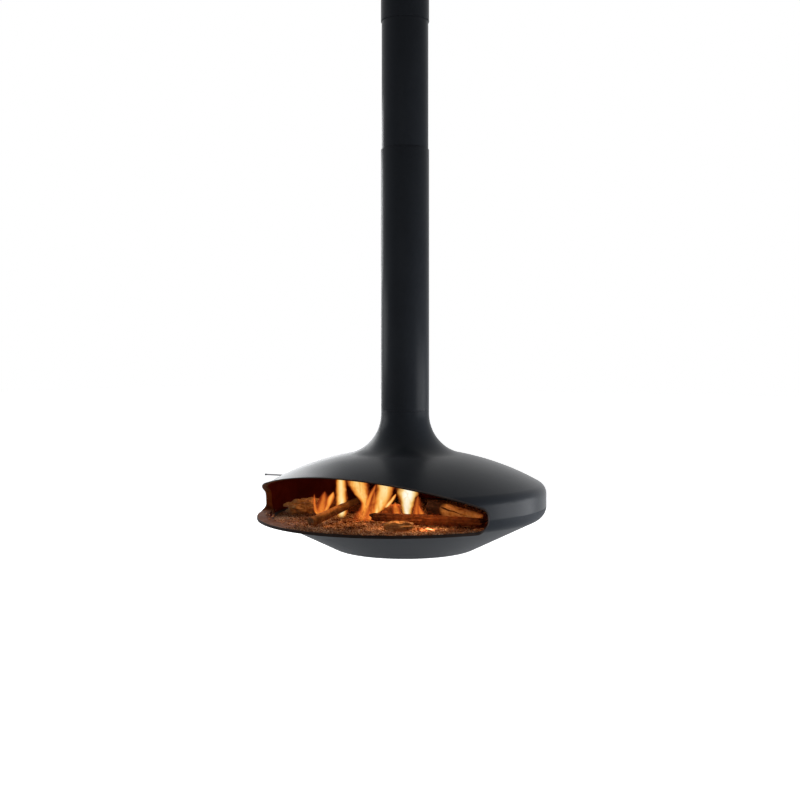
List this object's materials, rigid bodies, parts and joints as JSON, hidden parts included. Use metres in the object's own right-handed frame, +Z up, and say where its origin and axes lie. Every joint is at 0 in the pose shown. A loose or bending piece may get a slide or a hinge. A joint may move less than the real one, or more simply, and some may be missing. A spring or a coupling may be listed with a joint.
{
  "type": "suspended rotating open fireplace",
  "caption": "Round black steel open hearth with a wide mouth, hung from the ceiling on its own flue and free to turn right round.",
  "frame": {"origin": "on the ceiling plane, at the centre of the anchor bolt circle and of the flue", "axes": "+Z up into the ceiling along the flue, -Y out of the mouth of the hearth"},
  "size_m": [1.25, 1.3045, 2.6579],
  "materials": {
    "black_steel": "matt heat-resistant black paint on spun steel",
    "galvanised": "dull zinc-plated structural steel",
    "bearing_steel": "ground bearing steel",
    "cage_brass": "machined brass",
    "seal_rope": "woven glass-fibre rope",
    "fibre_board": "light insulating fibre block",
    "cast_floor": "raw cast iron",
    "embers": "charcoal, ash and glowing embers",
    "bark": "scorched bark and split wood",
    "charred": "charred wood",
    "handle_steel": "brushed stainless rod",
    "damper_steel": "soot-darkened steel"
  },
  "bodies": {
    "ceiling_fixing": {"ceiling_plate": "galvanised", "smoke_spigot": "galvanised", "seal_rings": "galvanised", "rope_seal": "seal_rope", "hanger_studs": "galvanised", "hanger_nuts": "galvanised", "support_ring": "galvanised", "lower_race": "bearing_steel", "ceiling_sleeve": "black_steel", "sleeve_screws": "galvanised", "ceiling_rose": "black_steel", "rose_screws": "black_steel"},
    "ball_ring": {"ball_cage": "cage_brass", "bearing_balls": "bearing_steel"},
    "hearth": {"upper_race": "bearing_steel", "pivot_flange": "galvanised", "upper_flue": "black_steel", "lower_flue": "black_steel", "flue_screws": "black_steel", "flue_coupling": "damper_steel", "coupling_screws": "black_steel", "hood_shell": "black_steel", "lower_pan": "black_steel", "mouth_lip": "black_steel", "handle_rod": "handle_steel", "handle_ball": "black_steel", "handle_nut": "galvanised", "insulation_block": "fibre_board", "floor_plate": "cast_floor", "ember_bed": "embers", "log_front_stick": "bark", "log_left_chunk": "bark", "log_right_round": "bark", "log_long_dark": "charred", "log_back": "bark", "log_centre_split": "bark", "log_charred_end": "charred", "spindle_bushes": "cage_brass"},
    "damper": {"damper_spindle": "handle_steel", "damper_plate": "damper_steel", "damper_screws": "handle_steel", "damper_lever": "damper_steel"}
  },
  "joints": [
    {"name": "hearth_turn", "type": "hinge", "parent": "ceiling_fixing", "child": "hearth", "pos_m": [0, 0, -0.046], "axis": [0, 0, 1], "continuous": true},
    {"name": "ball_ring_turn", "type": "hinge", "parent": "ceiling_fixing", "child": "ball_ring", "pos_m": [0, 0, -0.046], "axis": [0, 0, 1], "continuous": true},
    {"name": "damper_turn", "type": "hinge", "parent": "hearth", "child": "damper", "pos_m": [0, 0, -2], "axis": [1, 0, 0], "range_deg": [0, 90]}
  ],
  "couplings": [
    {"joint": "ball_ring_turn", "follows": "hearth_turn", "ratio": 0.5}
  ]
}
